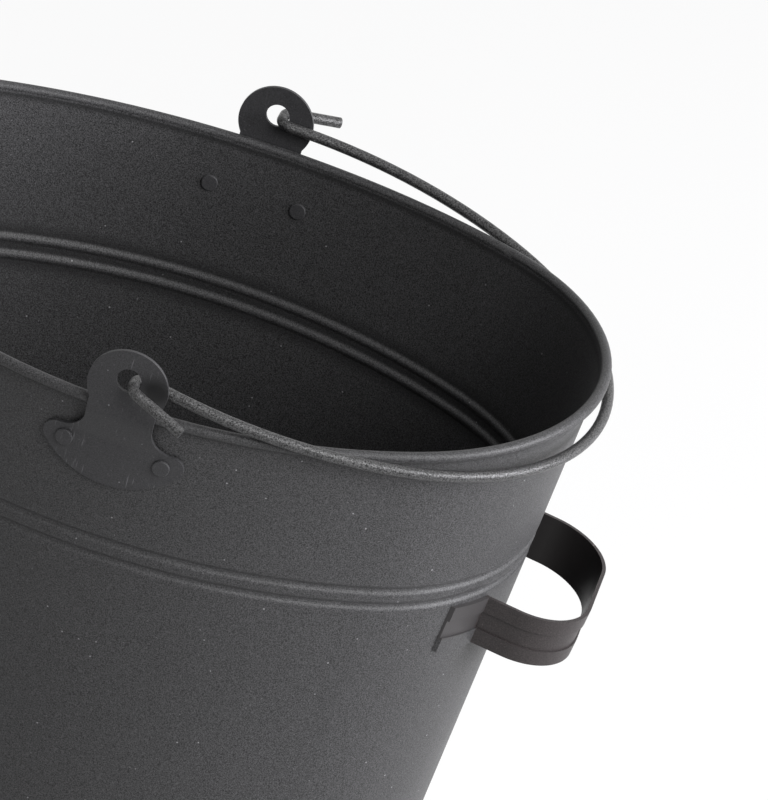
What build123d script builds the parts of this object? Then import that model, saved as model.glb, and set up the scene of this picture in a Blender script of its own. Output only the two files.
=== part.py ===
from build123d import *
import math
import os

# An oval sheet-steel log carrier: a tapered open bucket with a wired rim, two riveted ears,
# a swinging bail and a flat tipping handle on one end.
# Millimetres, +Z up, origin on the floor under the middle of the base.
# The ears stand at the front (-Y) and the back (+Y), the tipping handle on the right end (+X).

# Body
bucket_height = 300.0        # floor to the rim wire's centre, at the ears
rim_half_length = 217.7      # rim wire's centre line, along X
rim_half_width = 160.0       # rim wire's centre line, along Y
rim_end_rise = 10.9          # how much higher the rim stands at both ends than at the ears
end_tangent = 80.4           # tangent length of the round ends, sets how round they are
wall_taper = 5.1             # degrees that the wall leans outwards
sheet = 0.9                  # thickness of the body sheet

# Rim
rim_wire_diameter = 4.0
curl_clearance = 0.05        # between the rim wire and the sheet curled round it
curl_seat_share = -0.12      # of the sheet that the wall runs into the curl's own thickness

# Swages, two rounded ridges pressed inwards all round the body
swage_drop = 87.0            # rim to the middle of the pair
swage_pitch = 10.0
swage_width = 7.5
swage_depth = 1.5

# Base
base_floor_height = 8.0      # floor to the top face of the base panel
base_sheet = 0.9
seam_height = 7.0            # height of the seam folded round the wall's lower edge
seam_clearance = 0.1

# Ears
ear_thickness = 2.0
ear_head_radius = 20.8
ear_head_height = 14.8       # rim to the centre of the round head
ear_neck_half_width = 17.5
ear_flank_radius = 12.5      # hollow flank between neck and lobe
ear_flank_drop = 7.5         # rim to the centre of the flank's arc
ear_lobe_radius = 7.0
ear_foot_drop = 46.4         # rim to the lowest point of the ear
ear_lean = 1.0               # degrees that the head leans outwards
ear_bend_drop = 21.0         # rim to the bend where the ear leaves the wall
ear_bend_rise = 3.5          # rim down to the bend where the ear clears the curl
ear_bend_radius = 16.0
ear_seat_gap = 0.05          # between the ear and what it lies on
hole_diameter = 13.0
hole_height = 19.0           # rim to the hole's centre

# Rivets
rivet_reach = 25.4           # middle of the ear to each rivet
rivet_drop = 27.4            # rim to the rivets
rivet_shank = 4.8
rivet_head_diameter = 9.2
rivet_head_height = 1.3
rivet_fit = 0.05             # between the shank and its hole
rivet_edge = 0.6             # rounded edge of the head
rivet_seat_gap = 0.08        # under each head, where it lies on a curved face

# Bail
bail_wire = 6.0
bail_end_room = 6.5          # rim wire to the middle of the bow at the right end, when level
bail_arm_length = 13.0
bail_flare = 0.95            # how far each straight arm runs outwards
bail_twist = 0.61            # how far the back arm runs up, and the front one down
bail_tangent_room = 8.7      # tangent length of the bow, over that of the rim's ends
hook_radius = 6.0            # centre line of the bends at the ears
hook_side_gap = 0.5          # between the ear and the bend of the wire
pivot_offset = 3.0           # the wire hangs at this side of the hole's centre
pivot_drop = 1.0             # and this much below it
rest_drop = 6.1              # degrees below level where it lies on the rim at the right end
front_tail = Vector(30.5, -7.0, -10.4)   # from the hook to the cut end, at rest
back_tail = Vector(28.0, 17.0, -4.0)

# Tipping handle, a flat strap with both edges hemmed
strap_width = 28.8
strap_sheet = 1.0
strap_hem_width = 9.0
strap_drop = 114.4           # rim wire's centre to the strap's middle, at the wall
strap_tilt = 7.5             # degrees that the loop hangs down outwards
strap_half_span = 52.0       # middle of the loop to its legs
strap_reach = 40.0           # wall to the far side of the loop
strap_corner_radius = 32.5
strap_foot_length = 25.0
strap_seat_gap = 0.05

cut_over = 5.0               # how far cutting shapes run past what they cut
half_turn = 180.0            # degrees

# Sizes that follow from the ones above
taper_slope = math.tan(math.radians(wall_taper))
lean_slope = math.tan(math.radians(ear_lean))
rim_wire_radius = rim_wire_diameter / 2
curl_inner = rim_wire_radius + curl_clearance
curl_outer = curl_inner + sheet
bail_radius = bail_wire / 2


def biarc_point(start, start_way, end, end_way, end_length):
    """The point where an arc leaving start meets an arc arriving at end, both tangent there."""
    back = start - (end - end_way * end_length)
    length = (back.dot(back) - end_length**2) / (2 * (end_length - back.dot(start_way)))
    near = start + start_way * length
    far = end - end_way * end_length
    return near + (far - near) * (length / (length + end_length))


def oval_quarter(half_length, half_width, rise, tangent, height):
    """Side middle, junction and end middle of one quarter of an oval made of tangent arcs."""
    side = Vector(0, half_width, height)
    end = Vector(half_length, 0, height + rise)
    joint = biarc_point(side, Vector(1, 0, 0), end, Vector(0, -1, 0), tangent)
    return side, joint, end


def flipped(point, across_x, across_y):
    """The same point in another quarter of the oval."""
    return Vector(point.X * across_x, point.Y * across_y, point.Z)


def radial_plane(centre, angle):
    """An upright plane through a vertical line, with its own x running outwards at this angle."""
    way = Vector(math.cos(angle), math.sin(angle), 0)
    return Plane(origin=centre, x_dir=way, z_dir=Vector(way.Y, -way.X, 0))


# The rim wire's centre line: four arcs, each in its own tilted plane, tangent where they meet
rim_side, rim_joint, rim_end = oval_quarter(
    rim_half_length, rim_half_width, rim_end_rise, end_tangent, bucket_height
)
rim_arcs = [
    ThreePointArc(flipped(rim_joint, 1, 1), flipped(rim_side, 1, 1), flipped(rim_joint, -1, 1)),
    ThreePointArc(flipped(rim_joint, -1, 1), flipped(rim_end, -1, 1), flipped(rim_joint, -1, -1)),
    ThreePointArc(flipped(rim_joint, -1, -1), flipped(rim_side, 1, -1), flipped(rim_joint, 1, -1)),
    ThreePointArc(flipped(rim_joint, 1, -1), flipped(rim_end, 1, 1), flipped(rim_joint, 1, 1)),
]

# The body's plan at the height of the rim wire beside the ears: two side arcs and two end arcs
plan_half_length = rim_half_length - taper_slope * rim_end_rise
plan_side, plan_joint, plan_end = oval_quarter(
    plan_half_length, rim_half_width, 0, end_tangent, 0
)
side_drop = rim_half_width - plan_joint.Y
side_radius = (plan_joint.X**2 + side_drop**2) / (2 * side_drop)
end_drop = plan_half_length - plan_joint.X
end_radius = (plan_joint.Y**2 + end_drop**2) / (2 * end_drop)
side_centre = Vector(0, rim_half_width - side_radius, 0)
end_centre = Vector(plan_half_length - end_radius, 0, 0)
joint_angle = math.atan2(plan_joint.Y, plan_joint.X - end_centre.X)
side_turn = 2 * (math.pi / 2 - joint_angle)
end_turn = 2 * joint_angle
plan_sectors = [
    (end_centre, end_radius, -joint_angle, end_turn),
    (side_centre, side_radius, joint_angle, side_turn),
    (flipped(end_centre, -1, 1), end_radius, math.pi - joint_angle, end_turn),
    (flipped(side_centre, 1, -1), side_radius, math.pi + joint_angle, side_turn),
]
rim_planes = [
    (rim_end, flipped(rim_joint, 1, 1), flipped(rim_joint, 1, -1)),
    (rim_side, flipped(rim_joint, -1, 1), flipped(rim_joint, 1, 1)),
    (flipped(rim_end, -1, 1), flipped(rim_joint, -1, -1), flipped(rim_joint, -1, 1)),
    (flipped(rim_side, 1, -1), flipped(rim_joint, 1, -1), flipped(rim_joint, -1, -1)),
]


def wall_outside(height):
    """How far the wall's outer face stands out from the plan oval at this height."""
    return -curl_inner - sheet * curl_seat_share + taper_slope * (height - bucket_height)


def wall_inside(height):
    """How far the wall's inner face stands out from the plan oval at this height."""
    return wall_outside(height) - sheet


def around(section_at):
    """Carries a section once round the body: four turned sectors, one for each arc of the plan."""
    with BuildPart() as ring:
        for centre, radius, start, turn in plan_sectors:
            section = section_at(radius)
            with BuildSketch(radial_plane(centre, start)):
                add(section)
            revolve(axis=Axis(centre, (0, 0, 1)), revolution_arc=math.degrees(turn))
    return ring.part


def outline_section(points):
    """A section bounded by straight lines."""
    with BuildSketch() as section:
        with BuildLine():
            Polyline(*points, close=True)
        make_face()
    return section.sketch


def oval_face(reach):
    """The plan oval, grown or shrunk by this much."""
    corner = plan_joint + Vector(math.cos(joint_angle), math.sin(joint_angle), 0) * reach
    side = Vector(0, rim_half_width + reach, 0)
    end = Vector(plan_half_length + reach, 0, 0)
    with BuildSketch() as face:
        with BuildLine():
            ThreePointArc(flipped(corner, 1, 1), side, flipped(corner, -1, 1))
            ThreePointArc(flipped(corner, -1, 1), flipped(end, -1, 1), flipped(corner, -1, -1))
            ThreePointArc(flipped(corner, -1, -1), flipped(side, 1, -1), flipped(corner, 1, -1))
            ThreePointArc(flipped(corner, 1, -1), end, flipped(corner, 1, 1))
        make_face()
    return face.sketch


def along_rim(radius):
    """A round bar of this radius along the rim wire's centre line."""
    with BuildPart() as bar:
        for arc in rim_arcs:
            with BuildSketch(Plane(origin=arc @ 0, z_dir=arc % 0)):
                Circle(radius)
            sweep(path=arc)
    return bar.part


# Body shell: one sheet, swaged twice, curled over the rim wire at its top edge
wall_foot = base_sheet + seam_clearance
wall_top = bucket_height + rim_end_rise + cut_over
swage_heights = [bucket_height - swage_drop + side * swage_pitch / 2 for side in (-1, 1)]


def press_point(radius, face_of, height, depth):
    """A point on one face of the wall's section, pressed inwards by this depth."""
    return Vector(radius + face_of(height) - depth, height)


def draw_wall_face(radius, face_of):
    """Draws one face of the section upwards, with its two rounded ridges, and gives its ends."""
    up = (taper_slope, 1)
    start = press_point(radius, face_of, wall_foot, 0)
    here = start
    for middle in swage_heights:
        foot = press_point(radius, face_of, middle - swage_width / 2, 0)
        rise = press_point(radius, face_of, middle - swage_width / 4, swage_depth / 2)
        crest = press_point(radius, face_of, middle, swage_depth)
        fall = press_point(radius, face_of, middle + swage_width / 4, swage_depth / 2)
        head = press_point(radius, face_of, middle + swage_width / 2, 0)
        Line(here, foot)
        flank = TangentArc(foot, rise, tangent=up)
        TangentArc(rise, crest, tangent=flank % 1)
        flank = TangentArc(crest, fall, tangent=up)
        TangentArc(fall, head, tangent=flank % 1)
        here = head
    top = press_point(radius, face_of, wall_top, 0)
    Line(here, top)
    return start, top


def wall_section(radius):
    """The sheet's section from the base seam to above the rim."""
    with BuildSketch() as section:
        with BuildLine():
            outer_foot, outer_top = draw_wall_face(radius, wall_outside)
            inner_foot, inner_top = draw_wall_face(radius, wall_inside)
            Line(outer_foot, inner_foot)
            Line(outer_top, inner_top)
        make_face()
    return section.sketch


def wall_sector(place, rim_points):
    """One turned sector of the wall, cut off along the rim."""
    centre, radius, start, turn = place
    top, left, right = rim_points
    section = wall_section(radius)
    across = (left - top).cross(right - top).normalized()
    with BuildPart() as sector:
        with BuildSketch(radial_plane(centre, start)):
            add(section)
        revolve(axis=Axis(centre, (0, 0, 1)), revolution_arc=math.degrees(turn))
        split(bisect_by=Plane(origin=top, z_dir=across), keep=Keep.BOTTOM)
    return sector.part


def rivet_plane(across, side):
    """On the wall's outer face where a rivet goes through, facing outwards."""
    height = bucket_height - rivet_drop
    reach = side_radius + wall_outside(height)
    turn = math.asin(across / reach)
    way = Vector(math.sin(turn), side * math.cos(turn), -taper_slope).normalized()
    spot = Vector(across, side * (side_centre.Y + reach * math.cos(turn)), height)
    return Plane(origin=spot, z_dir=way)


FRONT = -1
BACK = 1
rivet_planes = {
    side: [rivet_plane(across, side) for across in (-rivet_reach, rivet_reach)]
    for side in (FRONT, BACK)
}
rivet_hole_radius = rivet_shank / 2 + rivet_fit

wall_sectors = [wall_sector(*pair) for pair in zip(plan_sectors, rim_planes)]
curl = along_rim(curl_outer)
curl_bore = along_rim(curl_inner)
with BuildPart() as body_shell:
    add(wall_sectors)
    add(curl)
    add(curl_bore, mode=Mode.SUBTRACT)
    with BuildSketch(*rivet_planes[FRONT], *rivet_planes[BACK]):
        Circle(rivet_hole_radius)
    extrude(amount=cut_over, both=True, mode=Mode.SUBTRACT)
body_shell.part.label = "body_shell"

# Rim wire: the stiffening wire inside the curl
rim_wire_bar = along_rim(rim_wire_radius)
with BuildPart() as rim_wire:
    add(rim_wire_bar)
rim_wire.part.label = "rim_wire"

# Base panel: a flat floor with a flange folded down, under the wall's edge and up outside it
seam_reach = base_sheet + seam_clearance


def base_flange_section(radius):
    """The seam's section: a channel that holds the wall's lower edge."""
    return outline_section(
        [
            (radius + wall_inside(base_floor_height) - seam_reach, base_floor_height),
            (radius + wall_inside(0) - seam_reach, 0),
            (radius + wall_outside(0) + seam_reach, 0),
            (radius + wall_outside(seam_height) + seam_reach, seam_height),
            (radius + wall_outside(seam_height) + seam_clearance, seam_height),
            (radius + wall_outside(base_sheet) + seam_clearance, base_sheet),
            (radius + wall_inside(base_sheet) - seam_clearance, base_sheet),
            (radius + wall_inside(base_floor_height) - seam_clearance, base_floor_height),
        ]
    )


floor_face = oval_face(wall_inside(base_floor_height) - seam_clearance - base_sheet / 2)
base_flange = around(base_flange_section)
with BuildPart() as base_panel:
    with BuildSketch(Plane.XY.offset(base_floor_height - base_sheet)):
        add(floor_face)
    extrude(amount=base_sheet)
    add(base_flange)
base_panel.part.label = "base_panel"

# Ears: a plate with a round head, a narrow neck and a wide foot with a rounded lobe at each rivet
neck_top = ear_head_height - math.sqrt(ear_head_radius**2 - ear_neck_half_width**2)
flank_middle = Vector(ear_neck_half_width + ear_flank_radius, -ear_flank_drop)
lobe_middle = flank_middle - Vector(0, ear_flank_radius + ear_lobe_radius)
head_middle = Vector(0, ear_head_height)
diagonal = Vector(1, 1).normalized()


def ear_outline():
    """The plate's outline seen from outside, measured from the rim wire's height."""
    lobe_foot = lobe_middle + lobe_middle.normalized() * ear_lobe_radius
    foot_length = lobe_foot.length
    foot_turn = math.atan2(lobe_foot.X, -lobe_foot.Y) / 2
    foot_side = Vector(math.sin(foot_turn), -math.cos(foot_turn)) * foot_length
    with BuildSketch() as face:
        with BuildLine():
            ThreePointArc(Vector(0, -foot_length), foot_side, lobe_foot)
            ThreePointArc(
                lobe_foot,
                lobe_middle + Vector(ear_lobe_radius, 0),
                lobe_middle + Vector(0, ear_lobe_radius),
            )
            ThreePointArc(
                lobe_middle + Vector(0, ear_lobe_radius),
                flank_middle - diagonal * ear_flank_radius,
                flank_middle - Vector(ear_flank_radius, 0),
            )
            Line(flank_middle - Vector(ear_flank_radius, 0), (ear_neck_half_width, neck_top))
            ThreePointArc(
                (ear_neck_half_width, neck_top),
                head_middle + diagonal * ear_head_radius,
                head_middle + Vector(0, ear_head_radius),
            )
            mirror(about=Plane.YZ)
        make_face()
        with Locations((0, hole_height)):
            Circle(hole_diameter / 2, mode=Mode.SUBTRACT)
    return face.sketch


def ear_section(radius):
    """The plate's section: against the wall at its foot, bent out past the curl, leaning on top."""
    seat = ear_seat_gap + ear_thickness / 2
    foot = bucket_height - ear_foot_drop - cut_over
    lower = bucket_height - ear_bend_drop
    upper = bucket_height - ear_bend_rise
    head = bucket_height + ear_head_height + ear_head_radius + cut_over
    upper_reach = curl_outer + seat
    with BuildSketch() as section:
        with BuildLine():
            FilletPolyline(
                (radius + wall_outside(foot) + seat, foot),
                (radius + wall_outside(lower) + seat, lower),
                (radius + upper_reach, upper),
                (radius + upper_reach + lean_slope * (head - upper), head),
                radius=ear_bend_radius,
            )
        trace(line_width=ear_thickness)
    return section.sketch


ear_turn = 2 * math.asin((flank_middle.X + ear_lobe_radius + cut_over) / side_radius)
ear_face = ear_outline()
ear_strip = ear_section(side_radius)


def ear(side):
    """One ear: its outline cut out of a plate that follows the curve of the wall."""
    middle = side * math.pi / 2
    centre = Vector(0, side * side_centre.Y, 0)
    with BuildPart() as plate:
        with BuildSketch(radial_plane(centre, middle - ear_turn / 2)):
            add(ear_strip)
        revolve(axis=Axis(centre, (0, 0, 1)), revolution_arc=math.degrees(ear_turn))
        with BuildSketch(Plane.XZ.offset(-side * rim_half_width)):
            with Locations((0, bucket_height)):
                add(ear_face)
        extrude(amount=ear_foot_drop, both=True, mode=Mode.INTERSECT)
        with BuildSketch(*rivet_planes[side]):
            Circle(rivet_hole_radius)
        extrude(amount=cut_over, both=True, mode=Mode.SUBTRACT)
    return plate.part


def rivets(side):
    """The two rivets of one ear, with a low domed head inside and outside."""
    outer_grip = ear_seat_gap + ear_thickness + rivet_seat_gap
    inner_grip = sheet + rivet_seat_gap
    with BuildPart() as pair:
        for plane in rivet_planes[side]:
            outer_start = plane.origin + plane.z_dir * outer_grip
            inner_start = plane.origin - plane.z_dir * inner_grip
            outward = Plane(origin=outer_start, z_dir=plane.z_dir)
            inward = Plane(origin=inner_start, z_dir=-plane.z_dir)
            with BuildSketch(inward):
                Circle(rivet_shank / 2)
            extrude(amount=-(outer_grip + inner_grip))
            for seat in (outward, inward):
                with BuildSketch(seat):
                    Circle(rivet_head_diameter / 2)
                extrude(amount=rivet_head_height)
                rim = edges(Select.LAST).filter_by(GeomType.CIRCLE)
                top = rim.sort_by(lambda edge: (edge.center() - seat.origin).dot(seat.z_dir))[-1]
                fillet(top, radius=rivet_edge)
    return pair.part


ear_front = ear(FRONT)
ear_front.label = "ear_front"
ear_back = ear(BACK)
ear_back.label = "ear_back"
rivets_front = rivets(FRONT)
rivets_front.label = "rivets_front"
rivets_back = rivets(BACK)
rivets_back.label = "rivets_back"

# Tipping handle: a flat strap bent into a loop, its hemmed edges folded outwards, with two feet
strap_height = bucket_height - strap_drop
strap_root = Vector(plan_half_length + wall_outside(strap_height), 0, strap_height)
tilt = math.radians(strap_tilt)
strap_plane = Plane(
    origin=strap_root,
    x_dir=(math.cos(tilt), 0, -math.sin(tilt)),
    z_dir=(math.sin(tilt), 0, math.cos(tilt)),
)
strap_edge = strap_width / 2
hem_edge = strap_edge - strap_hem_width
strap_bands = [(-strap_edge, -hem_edge, 1), (-strap_edge, strap_edge, 0), (hem_edge, strap_edge, 1)]


def strap_wall_section(thickness):
    """A strip that lies on the wall's outer face, level with the strap."""
    low = strap_height - strap_width
    high = strap_height + strap_width
    return outline_section(
        [
            (end_radius + wall_outside(low) + strap_seat_gap, low),
            (end_radius + wall_outside(low) + strap_seat_gap + thickness, low),
            (end_radius + wall_outside(high) + strap_seat_gap + thickness, high),
            (end_radius + wall_outside(high) + strap_seat_gap, high),
        ]
    )


def strap_feet(low, high, folds):
    """Both feet between two edges of the strap, one sheet thick or two where a hem lies."""
    section = strap_wall_section(strap_sheet * (1 + folds))
    foot_width = strap_foot_length + strap_sheet
    foot_middle = strap_half_span + strap_foot_length / 2
    with BuildPart() as feet:
        with BuildSketch(radial_plane(end_centre, -joint_angle)):
            add(section)
        revolve(axis=Axis(end_centre, (0, 0, 1)), revolution_arc=math.degrees(end_turn))
        with BuildSketch(strap_plane.offset(low)):
            with Locations((0, -foot_middle), (0, foot_middle)):
                Rectangle(2 * strap_half_span, foot_width)
        extrude(amount=high - low, mode=Mode.INTERSECT)
    return feet.part


def strap_loop(low, high, folds):
    """The bent loop between two edges of the strap, run into the wall at both ends."""
    out = strap_sheet * folds
    reach = strap_reach + out
    span = strap_half_span + out
    with BuildPart() as loop:
        with BuildSketch(strap_plane.offset(low)):
            with BuildLine():
                FilletPolyline(
                    (-strap_half_span, -span),
                    (reach, -span),
                    (reach, span),
                    (-strap_half_span, span),
                    radius=strap_corner_radius + out,
                )
            trace(line_width=strap_sheet)
        extrude(amount=high - low)
    return loop.part


wall_block_section = outline_section(
    [
        (0, 0),
        (end_radius + wall_outside(0) + strap_seat_gap, 0),
        (end_radius + wall_outside(bucket_height) + strap_seat_gap, bucket_height),
        (0, bucket_height),
    ]
)
strap_loops = [strap_loop(*band) for band in strap_bands]
strap_pads = [strap_feet(*band) for band in strap_bands]
with BuildPart() as strap_handle:
    add(strap_loops)
    with BuildSketch(radial_plane(end_centre, -joint_angle)):
        add(wall_block_section)
    revolve(
        axis=Axis(end_centre, (0, 0, 1)),
        revolution_arc=math.degrees(end_turn),
        mode=Mode.SUBTRACT,
    )
    add(strap_pads)
strap_handle.part.label = "strap_handle"

# Bail: one round wire, hooked through both ears, that lies on the rim when it is down. Its two
# sides are the same shape, half a turn apart, which gives the bow a slight twist.
pivot_height = hole_height - pivot_drop
pivot = Vector(pivot_offset, 0, bucket_height + pivot_height)
pivot_axis = Axis(pivot, (0, 1, 0))
ear_middle = (
    rim_half_width + curl_outer + ear_seat_gap + ear_thickness / 2
    + lean_slope * (pivot_height + ear_bend_rise)
)
hook_offset = ear_thickness / 2 + hook_side_gap + hook_radius
hook_inside = pivot + Vector(0, ear_middle - hook_offset, 0)
arm_end = hook_inside + Vector(bail_arm_length, bail_flare, bail_twist)
arm_way = (arm_end - hook_inside).normalized()
bow_end = pivot + Vector(rim_half_length + bail_end_room - pivot_offset, 0, 0)
bow_way = Vector(0, -arm_end.Y, -bail_twist).normalized()
bow_tangent = end_tangent + bail_tangent_room
bow_joint = biarc_point(arm_end, arm_way, bow_end, bow_way, bow_tangent)

with BuildLine() as back_half:
    TangentArc(arm_end, bow_joint, tangent=arm_way)
    TangentArc(bow_end, bow_joint, tangent=-bow_way)
front_half = back_half.line.rotate(Axis(pivot, (1, 0, 0)), half_turn)


def hook_line(side, tail):
    """The hooked end and the straight arm of one side, from the cut end inwards."""
    outside = pivot + Vector(0, side * (ear_middle + hook_offset), 0)
    inside = pivot + Vector(0, side * (ear_middle - hook_offset), 0)
    way = Vector(bail_arm_length, side * bail_flare, side * bail_twist).rotate(pivot_axis, rest_drop)
    return [outside + tail, outside, inside, inside + way]


bow_halves = [half.rotate(pivot_axis, rest_drop) for half in (back_half.line, front_half)]
hooks = [hook_line(FRONT, front_tail), hook_line(BACK, back_tail)]
with BuildPart() as bail:
    with BuildLine() as bail_line:
        add(bow_halves)
        for points in hooks:
            FilletPolyline(*points, radius=hook_radius)
    bail_path = bail_line.wires()[0]
    with BuildSketch(Plane(origin=bail_path @ 0, z_dir=bail_path % 0)):
        Circle(bail_radius)
    sweep(path=bail_path)
bail.part.label = "bail"

# One file for each piece
os.makedirs("parts", exist_ok=True)
export_step(body_shell.part, "parts/body_shell.step")
export_step(rim_wire.part, "parts/rim_wire.step")
export_step(base_panel.part, "parts/base_panel.step")
export_step(ear_front, "parts/ear_front.step")
export_step(ear_back, "parts/ear_back.step")
export_step(rivets_front, "parts/rivets_front.step")
export_step(rivets_back, "parts/rivets_back.step")
export_step(strap_handle.part, "parts/strap_handle.step")
export_step(bail.part, "parts/bail.step")
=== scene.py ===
import math

import bpy
from mathutils import Matrix, Vector

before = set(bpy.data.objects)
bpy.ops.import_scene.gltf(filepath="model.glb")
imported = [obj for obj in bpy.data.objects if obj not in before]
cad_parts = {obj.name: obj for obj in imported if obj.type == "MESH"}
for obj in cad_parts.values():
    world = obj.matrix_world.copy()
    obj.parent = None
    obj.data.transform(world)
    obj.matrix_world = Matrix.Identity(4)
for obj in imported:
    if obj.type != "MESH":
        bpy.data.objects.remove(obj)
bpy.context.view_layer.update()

bl_info = {
    "name": "Log carrier",
    "version": (1, 0, 0),
    "blender": (4, 5, 0),
    "location": "3D View > Sidebar > Log carrier",
    "description": "Finishes and studio for an oval steel log carrier",
    "category": "Object",
}


# Sizes and colours

class PaintSettings(bpy.types.PropertyGroup):
    """The black paint on the sheet, the ears and the handles."""

    body_colour: bpy.props.FloatVectorProperty(
        name="Body colour", description="Paint on the sheet body", subtype="COLOR",
        size=3, min=0.0, max=1.0, default=(0.052, 0.0515, 0.053),
    )
    ear_colour: bpy.props.FloatVectorProperty(
        name="Ear colour", description="Paint on the ears and rivets", subtype="COLOR",
        size=3, min=0.0, max=1.0, default=(0.048, 0.0475, 0.050),
    )
    wire_colour: bpy.props.FloatVectorProperty(
        name="Bail colour", description="Paint on the bail's wire", subtype="COLOR",
        size=3, min=0.0, max=1.0, default=(0.050, 0.0495, 0.050),
    )
    strap_colour: bpy.props.FloatVectorProperty(
        name="Strap colour", description="Paint on the tipping handle", subtype="COLOR",
        size=3, min=0.0, max=1.0, default=(0.036, 0.031, 0.031),
    )
    grain_size: bpy.props.FloatProperty(
        name="Grain size", description="Width of one grain of the paint", subtype="DISTANCE",
        unit="LENGTH", min=0.0001, max=0.01, default=0.00068,
    )
    grain_height: bpy.props.FloatProperty(
        name="Grain height", description="How far the grain stands up", subtype="DISTANCE",
        unit="LENGTH", min=0.0, max=0.001, default=0.00012,
    )
    roughness: bpy.props.FloatProperty(
        name="Roughness", description="How matt the paint is", subtype="FACTOR",
        min=0.0, max=1.0, default=0.46,
    )


class StudioSettings(bpy.types.PropertyGroup):
    """Floor, lamps and camera."""

    floor_colour: bpy.props.FloatVectorProperty(
        name="Floor colour", description="Colour of the floor as the camera sees it",
        subtype="COLOR", size=3, min=0.0, max=1.0, default=(0.95, 0.95, 0.95),
    )
    floor_bounce: bpy.props.FloatProperty(
        name="Floor bounce", description="Share of that colour which lights the carrier",
        subtype="FACTOR", min=0.0, max=1.0, default=0.32,
    )
    key_power: bpy.props.FloatProperty(
        name="Key light", description="Power of the lamp on the right", unit="POWER",
        min=0.0, default=112.0,
    )
    front_power: bpy.props.FloatProperty(
        name="Front light", description="Power of the lamp above the front right",
        unit="POWER", min=0.0, default=50.0,
    )
    top_power: bpy.props.FloatProperty(
        name="Top light", description="Power of the lamp overhead", unit="POWER",
        min=0.0, default=6.0,
    )
    surround: bpy.props.FloatProperty(
        name="Surround", description="Light that comes from all round", subtype="FACTOR",
        min=0.0, max=1.0, default=0.10,
    )
    aim: bpy.props.FloatVectorProperty(
        name="Aim", description="Point of the carrier that the camera is set by",
        subtype="XYZ", unit="LENGTH", size=3, default=(0.0, 0.0, 0.300),
    )
    distance: bpy.props.FloatProperty(
        name="Distance", description="From the camera to that point", subtype="DISTANCE",
        unit="LENGTH", min=0.1, default=3.2886,
    )
    turn: bpy.props.FloatProperty(
        name="Turn", description="How far the camera stands to the right of the front",
        subtype="ANGLE", unit="ROTATION", default=math.radians(6.7318),
    )
    height_angle: bpy.props.FloatProperty(
        name="Height angle", description="How far the camera looks down",
        subtype="ANGLE", unit="ROTATION", default=math.radians(28.11),
    )
    roll: bpy.props.FloatProperty(
        name="Roll", description="How far the camera is tipped about its own line of sight",
        subtype="ANGLE", unit="ROTATION", default=math.radians(15.093),
    )
    lens: bpy.props.FloatProperty(
        name="Lens", description="Focal length in millimetres", min=10.0, default=296.5,
    )


# The paint's texture: noise in cells per metre, sizes in metres

GRAIN_STOPS = (0.34, 0.68)       # noise at the darkest and the palest grain
GRAIN_DETAIL = (2.0, 0.6)
PAINT_SHINE = 0.28
CLOUD_SCALE = 14.0
SPECK_SHARE = 0.55               # specks of dust have wider cells than the grain
SPECK_STOPS = (0.70, 0.80)
DUST_TIMES = 2.6                 # how much paler than the paint
LINT_TIMES = 6.0
LINT_SCALE = 95.0
LINT_RADIUS = 0.00055

# Where the marks, the painted shade and the creases are

BODY_MIDDLE = (0.0, 0.0, 0.0)
LOOP_MIDDLE = (0.212, 0.0, 0.0)
# How dark the painted shade on the strap loop's inner face is
LOOP_SHADE_DARKER = 0.3
FOOT_EDGE = (0.0535, 0.0545)     # from the middle line to where a foot begins
FOOT_LOW = 0.182                 # height of the fold of the lower hem
FOOT_SPECKLE = 0.5
FOOT_GRAIN_SCALE = 1200.0
# Painted shade: a dark patch beside the front hole
SHADE_PATCH_PLACE = (0.0145, 0.3170)   # x and height, beside the front hole
SHADE_PATCH_REACH = (0.004, 0.0115)
# Painted shade in the creases beside the swages and under the rim: where it goes and how dark it
# is
SWAGES = (0.2045, 0.2215)        # height of the pair's lower and upper edge
SWAGE_GROOVE = 0.213
SWAGE_SHADE = 0.6
RIM_MIDDLE = 0.300               # height of the rim wire at the ears
RIM_RISE = 0.0109                # how much higher it is at both ends
RIM_REACH = 0.2177
RIM_POWER = 1.9
RIM_SHADE = 0.75
CREASE_DARKER = 0.25

# Studio

FLOOR_SIZE = 12.0
FLOOR_DROP = 0.0005
FLOOR_GLOW = 0.86                # share of plain white in what the camera sees
LAMP_SIZE = 1.4
LAMP_TARGET = (0.0, 0.0, 0.2)
LAMPS = (
    ("key_light", "key_power", (2.6, 0.0, 1.1), (0.96, 0.96, 1.0)),
    ("front_light", "front_power", (1.6, -1.6, 2.0), (1.0, 1.0, 1.0)),
    ("top_light", "top_power", (0.8, -0.5, 2.4), (1.0, 1.0, 1.0)),
)
PICTURE_SIZE = (768.0, 800.0)
AIM_PIXEL = (198.64, 273.26)     # where the aim is in the picture
SENSOR_WIDTH = 36.0
CLIP_END = 50.0


# Node helpers

def new_material(name):
    """An empty node material with its shader and the object's own coordinates."""
    material = bpy.data.materials.new(name)
    material.use_nodes = True
    tree = material.node_tree
    shader = tree.nodes["Principled BSDF"]
    place = tree.nodes.new("ShaderNodeTexCoord")
    return material, tree, shader, place.outputs["Object"]


def feed(tree, socket, value):
    """Sets an input to a number or vector, or links another node's output to it."""
    if isinstance(value, bpy.types.NodeSocket):
        tree.links.new(value, socket)
    else:
        socket.default_value = value


def noise(tree, coordinates, scale, detail=2.0, roughness=0.5):
    """A noise pattern, with its scale in cells per metre."""
    node = tree.nodes.new("ShaderNodeTexNoise")
    node.inputs["Scale"].default_value = scale
    node.inputs["Detail"].default_value = detail
    node.inputs["Roughness"].default_value = roughness
    tree.links.new(coordinates, node.inputs["Vector"])
    return node.outputs["Fac"]


def ramp(tree, value, stops):
    """A colour ramp from pairs of place and colour."""
    node = tree.nodes.new("ShaderNodeValToRGB")
    elements = node.color_ramp.elements
    for element, (place, colour) in zip(elements, stops, strict=True):
        element.position = place
        element.color = (*colour, 1.0)
    tree.links.new(value, node.inputs["Fac"])
    return node.outputs["Color"]


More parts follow.
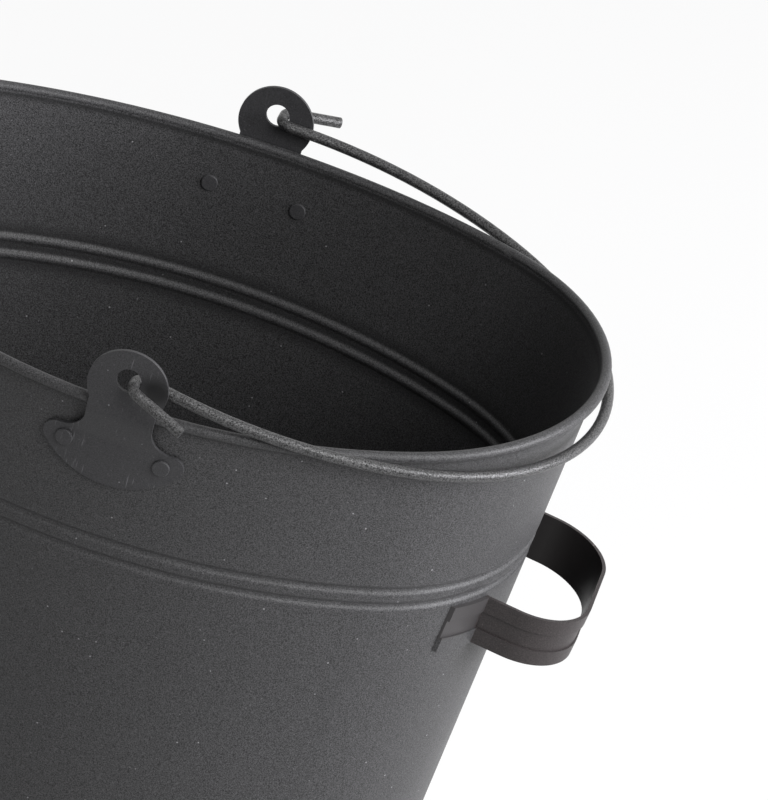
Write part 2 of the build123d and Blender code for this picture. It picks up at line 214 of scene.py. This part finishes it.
def remap(tree, value, low, high, to_low, to_high):
    """Maps a value from one range to another, held at both ends."""
    node = tree.nodes.new("ShaderNodeMapRange")
    node.inputs["From Min"].default_value = low
    node.inputs["From Max"].default_value = high
    node.inputs["To Min"].default_value = to_low
    node.inputs["To Max"].default_value = to_high
    tree.links.new(value, node.inputs["Value"])
    return node.outputs["Result"]


def bump(tree, height, strength, distance):
    """A bump from a height pattern."""
    node = tree.nodes.new("ShaderNodeBump")
    node.inputs["Strength"].default_value = strength
    node.inputs["Distance"].default_value = distance
    tree.links.new(height, node.inputs["Height"])
    return node.outputs["Normal"]


def mixed(tree, factor, low, high):
    """One colour over another by a factor; each is a colour or a socket."""
    node = tree.nodes.new("ShaderNodeMix")
    node.data_type = "RGBA"
    tree.links.new(factor, node.inputs["Factor"])
    for name, value in (("A", low), ("B", high)):
        socket = next(s for s in node.inputs if s.name == name and s.type == "RGBA")
        if not isinstance(value, bpy.types.NodeSocket):
            value = (*value, 1.0)
        feed(tree, socket, value)
    return next(s for s in node.outputs if s.type == "RGBA")


def math_node(tree, kind, first, second=0.0):
    """One sum on sockets or numbers."""
    node = tree.nodes.new("ShaderNodeMath")
    node.operation = kind
    for socket, value in zip(node.inputs, (first, second)):
        feed(tree, socket, value)
    return node.outputs[0]


def vector_node(tree, kind, first, second):
    """One sum on vectors; the dot product gives a number."""
    node = tree.nodes.new("ShaderNodeVectorMath")
    node.operation = kind
    for socket, value in zip(node.inputs, (first, second)):
        feed(tree, socket, value)
    return node.outputs["Value" if kind == "DOT_PRODUCT" else "Vector"]


def product(tree, *factors):
    """All of these factors multiplied."""
    total = factors[0]
    for factor in factors[1:]:
        total = math_node(tree, "MULTIPLY", total, factor)
    return total


def largest(tree, *values):
    """The largest of these values."""
    total = values[0]
    for value in values[1:]:
        total = math_node(tree, "MAXIMUM", total, value)
    return total


def band(tree, value, rise, fall):
    """One between two slopes of a value, and zero outside them."""
    return product(
        tree,
        remap(tree, value, *rise, 0.0, 1.0),
        remap(tree, value, *fall, 1.0, 0.0),
    )


def split_place(tree, place):
    """The x, the y and the height of each point."""
    parts = tree.nodes.new("ShaderNodeSeparateXYZ")
    tree.links.new(place, parts.inputs[0])
    return tuple(parts.outputs)


def scaled(colour, times):
    """A colour made paler or darker."""
    return tuple(min(1.0, part * times) for part in colour)


# Materials

def dots(tree, coordinates, scale, radius):
    """Scattered round dots of this radius; one inside a dot and zero outside it."""
    node = tree.nodes.new("ShaderNodeTexVoronoi")
    node.inputs["Scale"].default_value = scale
    tree.links.new(coordinates, node.inputs["Vector"])
    edge = radius * scale
    return remap(tree, node.outputs["Distance"], edge * 0.6, edge, 1.0, 0.0)


def grained(tree, grain, colour, speckle):
    """A colour that varies with the grain, by this share both ways."""
    dark, pale = GRAIN_STOPS
    return ramp(tree, grain, [
        (dark, scaled(colour, 1.0 - speckle)), (pale, scaled(colour, 1.0 + speckle)),
    ])


def grained_paint(name, colour, settings, roughness_shift=0.0, speckle=0.75, height=1.0,
                  extra=None, shine=PAINT_SHINE, spread=0.0, coarse=1.0):
    """Matt black paint with an even grain, pale dust and lint, and faint cloudy patches."""
    material, tree, shader, place = new_material(name)
    cells = 1.0 / (settings.grain_size * coarse)
    grain = noise(tree, place, cells, *GRAIN_DETAIL)
    cloud = noise(tree, place, CLOUD_SCALE, 3.0)
    specks = noise(tree, place, cells * SPECK_SHARE, 1.0)
    paint = grained(tree, grain, colour, speckle)
    dusty = remap(tree, specks, *SPECK_STOPS, 0.0, 0.8)
    paint = mixed(tree, dusty, paint, scaled(colour, DUST_TIMES))
    lint = dots(tree, place, LINT_SCALE, LINT_RADIUS)
    paint = mixed(tree, lint, paint, scaled(colour, LINT_TIMES))
    if extra is not None:
        paint = extra(tree, place, paint, colour)
    tree.links.new(paint, shader.inputs["Base Color"])
    base = settings.roughness + roughness_shift
    patches = remap(tree, cloud, 0.3, 0.7, base - 0.03, base + 0.05)
    tree.links.new(patches, shader.inputs["Roughness"])
    sparkle = remap(tree, grain, 0.36, 0.66, (1.0 - spread) * shine, (1.0 + spread) * shine)
    tree.links.new(sparkle, shader.inputs["Specular IOR Level"])
    rough = bump(tree, grain, 0.5 * height, settings.grain_height * 2.0)
    tree.links.new(rough, shader.inputs["Normal"])
    return material


def facing_inwards(tree, place, middle):
    """One on the faces that look towards an upright line, and zero on those that look away."""
    facing = tree.nodes.new("ShaderNodeTexCoord").outputs["Normal"]
    reach = vector_node(tree, "SUBTRACT", place, middle)
    level = vector_node(tree, "MULTIPLY", reach, (1.0, 1.0, 0.0))
    outwards = vector_node(tree, "DOT_PRODUCT", level, facing)
    return remap(tree, outwards, -0.010, -0.002, 1.0, 0.0)


def swage_shade(tree, up):
    """Where painted shade goes: the groove between the two swages and a strip above and below
    them.
    """
    low, high = SWAGES
    over = band(tree, up, (high - 0.0015, high + 0.0005), (high + 0.001, high + 0.008))
    under = band(tree, up, (low - 0.007, low - 0.001), (low - 0.0005, low + 0.0015))
    off_groove = math_node(tree, "ABSOLUTE", math_node(tree, "SUBTRACT", up, SWAGE_GROOVE))
    groove = remap(tree, off_groove, 0.0008, 0.0024, 1.0, 0.0)
    return largest(tree, over, under, groove)


def rim_shade(tree, along, up):
    """Where painted shade goes in the crease under the curled rim, which rises towards both
    ends.
    """
    reach = product(tree, math_node(tree, "ABSOLUTE", along), 1.0 / RIM_REACH)
    rise = product(tree, math_node(tree, "POWER", reach, RIM_POWER), RIM_RISE)
    below = math_node(tree, "SUBTRACT", up, math_node(tree, "ADD", rise, RIM_MIDDLE))
    return band(tree, below, (-0.0058, -0.0030), (-0.0021, -0.0013))


def crease_shade(tree, place, paint, colour):
    """Painted shade in the creases: inside beside the swages, and under the rim on both sides.
    """
    along, _, up = split_place(tree, place)
    inside = facing_inwards(tree, place, BODY_MIDDLE)
    inner = product(tree, swage_shade(tree, up), inside, SWAGE_SHADE)
    under_rim = product(tree, rim_shade(tree, along, up), RIM_SHADE)
    shade = largest(tree, inner, under_rim)
    return mixed(tree, shade, paint, scaled(colour, CREASE_DARKER))


def strap_feet_and_loop_shade(tree, place, paint, colour):
    """Painted shade darkens the loop's inner face. The feet share the wall's paint, wholly so
    below the hem.
    """
    inside = facing_inwards(tree, place, LOOP_MIDDLE)
    # Painted shade on the loop's inner face
    paint = mixed(tree, inside, paint, scaled(colour, LOOP_SHADE_DARKER))
    _, side, up = split_place(tree, place)
    foot = remap(tree, math_node(tree, "ABSOLUTE", side), *FOOT_EDGE, 0.0, 1.0)
    under = remap(tree, up, FOOT_LOW - 0.0002, FOOT_LOW, 1.0, 0.0)
    wall_colour = tuple(bpy.context.scene.carrier_paint.body_colour)
    foot_colour = tuple((a + b) / 2 for a, b in zip(colour, wall_colour))
    grain = noise(tree, place, FOOT_GRAIN_SCALE, *GRAIN_DETAIL)
    wall = grained(tree, grain, wall_colour, FOOT_SPECKLE)
    paint = mixed(tree, foot, paint, foot_colour)
    return mixed(tree, product(tree, foot, under), paint, wall)


def rub_marks_and_shade(tree, place, paint, colour):
    """Short pale rub marks that the bail leaves, and a painted dark patch of shade beside the
    front hole.
    """
    stretch = tree.nodes.new("ShaderNodeMapping")
    stretch.inputs["Rotation"].default_value = (0.0, math.radians(28.0), 0.0)
    stretch.inputs["Scale"].default_value = (900.0, 60.0, 90.0)
    tree.links.new(place, stretch.inputs["Vector"])
    streaks = noise(tree, stretch.outputs["Vector"], 1.0, 2.0)
    streaks = remap(tree, streaks, 0.62, 0.72, 0.0, 1.0)
    worn = remap(tree, noise(tree, place, 55.0, 2.0), 0.48, 0.60, 0.0, 0.8)
    paint = mixed(tree, product(tree, streaks, worn), paint, scaled(colour, 3.2))
    along, side, up = split_place(tree, place)
    # Painted shade: a dark patch beside the front hole, on the front ear only
    right = math_node(tree, "SUBTRACT", along, SHADE_PATCH_PLACE[0])
    over = math_node(tree, "SUBTRACT", up, SHADE_PATCH_PLACE[1])
    squares = math_node(
        tree, "ADD", product(tree, right, right), product(tree, over, over)
    )
    shade_patch = remap(tree, math_node(tree, "SQRT", squares), *SHADE_PATCH_REACH, 0.95, 0.0)
    front = remap(tree, side, -0.01, 0.01, 1.0, 0.0)
    return mixed(tree, product(tree, shade_patch, front), paint, scaled(colour, 0.15))


def bare_wire(name):
    """Drawn steel wire, finely grained and slightly tarnished."""
    material, tree, shader, place = new_material(name)
    fine = noise(tree, place, 1800.0, 3.0)
    stain = noise(tree, place, 60.0, 3.0)
    colour = ramp(tree, stain, [(0.35, (0.36, 0.36, 0.37)), (0.70, (0.50, 0.50, 0.50))])
    tree.links.new(colour, shader.inputs["Base Color"])
    tree.links.new(remap(tree, fine, 0.3, 0.7, 0.32, 0.46), shader.inputs["Roughness"])
    shader.inputs["Metallic"].default_value = 1.0
    tree.links.new(bump(tree, fine, 0.2, 0.00002), shader.inputs["Normal"])
    return material


def paint_node(node, material):
    """Gives a CAD node its finish."""
    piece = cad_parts[node]
    if not piece.material_slots:
        piece.data.materials.append(material)
    for place in piece.material_slots:
        place.material = material


class CARRIER_OT_body_finish(bpy.types.Operator):
    """Paint the sheet body and its base"""

    bl_idname = "carrier.body_finish"
    bl_label = "Body finish"

    def execute(self, context):
        paint = context.scene.carrier_paint
        body = grained_paint("body_paint", tuple(paint.body_colour), paint, extra=crease_shade)
        paint_node("body_shell", body)
        paint_node("base_panel", body)
        paint_node("rim_wire", bare_wire("rim_wire_steel"))
        return {"FINISHED"}


class CARRIER_OT_ear_finish(bpy.types.Operator):
    """Paint the two ears and their rivets"""

    bl_idname = "carrier.ear_finish"
    bl_label = "Ear finish"

    def execute(self, context):
        paint = context.scene.carrier_paint
        ears = grained_paint(
            "ear_paint", tuple(paint.ear_colour), paint,
            roughness_shift=0.03, speckle=0.3, height=0.5, extra=rub_marks_and_shade,
        )
        for node in ("ear_front", "ear_back", "rivets_front", "rivets_back"):
            paint_node(node, ears)
        return {"FINISHED"}


class CARRIER_OT_bail_finish(bpy.types.Operator):
    """Paint the bail's wire"""

    bl_idname = "carrier.bail_finish"
    bl_label = "Bail finish"

    def execute(self, context):
        paint = context.scene.carrier_paint
        bail = grained_paint(
            "bail_paint", tuple(paint.wire_colour), paint,
            roughness_shift=-0.15, speckle=0.8, height=2.2,
            shine=0.45, spread=0.6, coarse=1.15,
        )
        paint_node("bail", bail)
        return {"FINISHED"}


class CARRIER_OT_strap_finish(bpy.types.Operator):
    """Paint the strap handle"""

    bl_idname = "carrier.strap_finish"
    bl_label = "Strap finish"

    def execute(self, context):
        paint = context.scene.carrier_paint
        strap = grained_paint(
            "strap_paint", tuple(paint.strap_colour), paint,
            speckle=0.35, height=0.6, extra=strap_feet_and_loop_shade,
        )
        paint_node("strap_handle", strap)
        return {"FINISHED"}


# Studio pieces

def background_rays(tree):
    """One for rays that show the background: from the camera, by reflection or through glass."""
    rays = tree.nodes.new("ShaderNodeLightPath")
    kinds = ("Is Camera Ray", "Is Glossy Ray", "Is Transmission Ray")
    return largest(tree, *(rays.outputs[kind] for kind in kinds))


def plain_white(name, colour, bounce):
    """A matt surface that the camera sees as plain white apart from soft shadow."""
    material, tree, shader, place = new_material(name)
    shader.inputs["Roughness"].default_value = 0.9
    mottle = noise(tree, place, 3.0, 2.0)
    rays = background_rays(tree)
    paper = ramp(tree, mottle, [(0.3, scaled(colour, 0.985)), (0.7, tuple(colour))])
    paper = mixed(tree, rays, scaled(colour, bounce), paper)
    tree.links.new(paper, shader.inputs["Base Color"])
    glow = tree.nodes.new("ShaderNodeEmission")
    glow.inputs["Strength"].default_value = 1.0
    blend = tree.nodes.new("ShaderNodeMixShader")
    output = tree.nodes["Material Output"]
    tree.links.new(product(tree, rays, FLOOR_GLOW), blend.inputs["Fac"])
    tree.links.new(shader.outputs["BSDF"], blend.inputs[1])
    tree.links.new(glow.outputs["Emission"], blend.inputs[2])
    tree.links.new(blend.outputs["Shader"], output.inputs["Surface"])
    return material


def lay_floor(studio):
    """The floor, just under the carrier."""
    bpy.ops.object.select_all(action="DESELECT")
    bpy.ops.mesh.primitive_plane_add(size=FLOOR_SIZE, location=(0.0, 0.0, -FLOOR_DROP))
    floor = bpy.context.active_object
    floor.name = "floor"
    bpy.ops.object.transform_apply(location=True, rotation=True, scale=True)
    paper = plain_white("floor_paper", studio.floor_colour, studio.floor_bounce)
    floor.data.materials.append(paper)


def light_surround(studio):
    """The world: faint light on the carrier, and white where it is seen."""
    world = bpy.data.worlds.new("surround")
    bpy.context.scene.world = world
    world.use_nodes = True
    tree = world.node_tree
    back = tree.nodes["Background"]
    strength = remap(tree, background_rays(tree), 0.0, 1.0, studio.surround, 1.0)
    tree.links.new(strength, back.inputs["Strength"])
    back.inputs["Color"].default_value = (1.0, 1.0, 1.0, 1.0)


def hang_lamp(name, place, power, colour):
    """A soft square lamp that points at the carrier."""
    data = bpy.data.lights.new(name, "AREA")
    data.shape = "SQUARE"
    data.size = LAMP_SIZE
    data.energy = power
    data.color = colour
    lamp = bpy.data.objects.new(name, data)
    lamp.location = place
    sight = Vector(LAMP_TARGET) - Vector(place)
    lamp.rotation_euler = sight.to_track_quat("-Z", "Y").to_euler()
    bpy.context.scene.collection.objects.link(lamp)


def set_camera(studio):
    """Puts the camera where the aim falls on its own pixel of the picture."""
    outwards = Vector((
        math.sin(studio.turn) * math.cos(studio.height_angle),
        -math.cos(studio.turn) * math.cos(studio.height_angle),
        math.sin(studio.height_angle),
    ))
    sight = -outwards
    right = sight.cross(Vector((0.0, 0.0, 1.0))).normalized()
    up = right.cross(sight)
    tipped_right = right * math.cos(studio.roll) + up * math.sin(studio.roll)
    tipped_up = up * math.cos(studio.roll) - right * math.sin(studio.roll)
    pixels = studio.lens * PICTURE_SIZE[0] / SENSOR_WIDTH
    to_right = (PICTURE_SIZE[0] / 2 - AIM_PIXEL[0]) / pixels
    downwards = (PICTURE_SIZE[1] / 2 - AIM_PIXEL[1]) / pixels
    line = (sight + tipped_right * to_right - tipped_up * downwards).normalized()
    across = (tipped_right - line * tipped_right.dot(line)).normalized()
    above = across.cross(line)
    data = bpy.data.cameras.new("camera")
    data.sensor_fit = "HORIZONTAL"
    data.sensor_width = SENSOR_WIDTH
    data.lens = studio.lens
    data.clip_end = CLIP_END
    camera = bpy.data.objects.new("camera", data)
    place = Vector(studio.aim) + outwards * studio.distance
    turned = Matrix((across, above, -line)).transposed().to_4x4()
    camera.matrix_world = Matrix.Translation(place) @ turned
    bpy.context.scene.collection.objects.link(camera)
    bpy.context.scene.camera = camera


class CARRIER_OT_stage(bpy.types.Operator):
    """Lay the floor, hang the lamps and set the camera"""

    bl_idname = "carrier.stage"
    bl_label = "Stage"

    def execute(self, context):
        studio = context.scene.carrier_studio
        lay_floor(studio)
        light_surround(studio)
        for name, power, place, colour in LAMPS:
            hang_lamp(name, place, getattr(studio, power), colour)
        set_camera(studio)
        context.scene.view_settings.view_transform = "Standard"
        return {"FINISHED"}


class CARRIER_PT_panel(bpy.types.Panel):
    """Lists the carrier's steps in the sidebar"""

    bl_label = "Log carrier"
    bl_idname = "CARRIER_PT_panel"
    bl_space_type = "VIEW_3D"
    bl_region_type = "UI"
    bl_category = "Log carrier"

    def draw(self, context):
        for step in STEPS:
            self.layout.operator(step.bl_idname)
        for settings in (context.scene.carrier_paint, context.scene.carrier_studio):
            for name in settings.__annotations__:
                self.layout.prop(settings, name)


STEPS = (
    CARRIER_OT_body_finish,
    CARRIER_OT_ear_finish,
    CARRIER_OT_bail_finish,
    CARRIER_OT_strap_finish,
    CARRIER_OT_stage,
)
CLASSES = (PaintSettings, StudioSettings, *STEPS, CARRIER_PT_panel)


def register():
    for item in CLASSES:
        bpy.utils.register_class(item)
    bpy.types.Scene.carrier_paint = bpy.props.PointerProperty(type=PaintSettings)
    bpy.types.Scene.carrier_studio = bpy.props.PointerProperty(type=StudioSettings)


def unregister():
    del bpy.types.Scene.carrier_studio
    del bpy.types.Scene.carrier_paint
    for item in reversed(CLASSES):
        bpy.utils.unregister_class(item)


def main():
    register()
    bpy.ops.carrier.body_finish()
    bpy.ops.carrier.ear_finish()
    bpy.ops.carrier.bail_finish()
    bpy.ops.carrier.strap_finish()
    bpy.ops.carrier.stage()


if __name__ == "__main__":
    main()
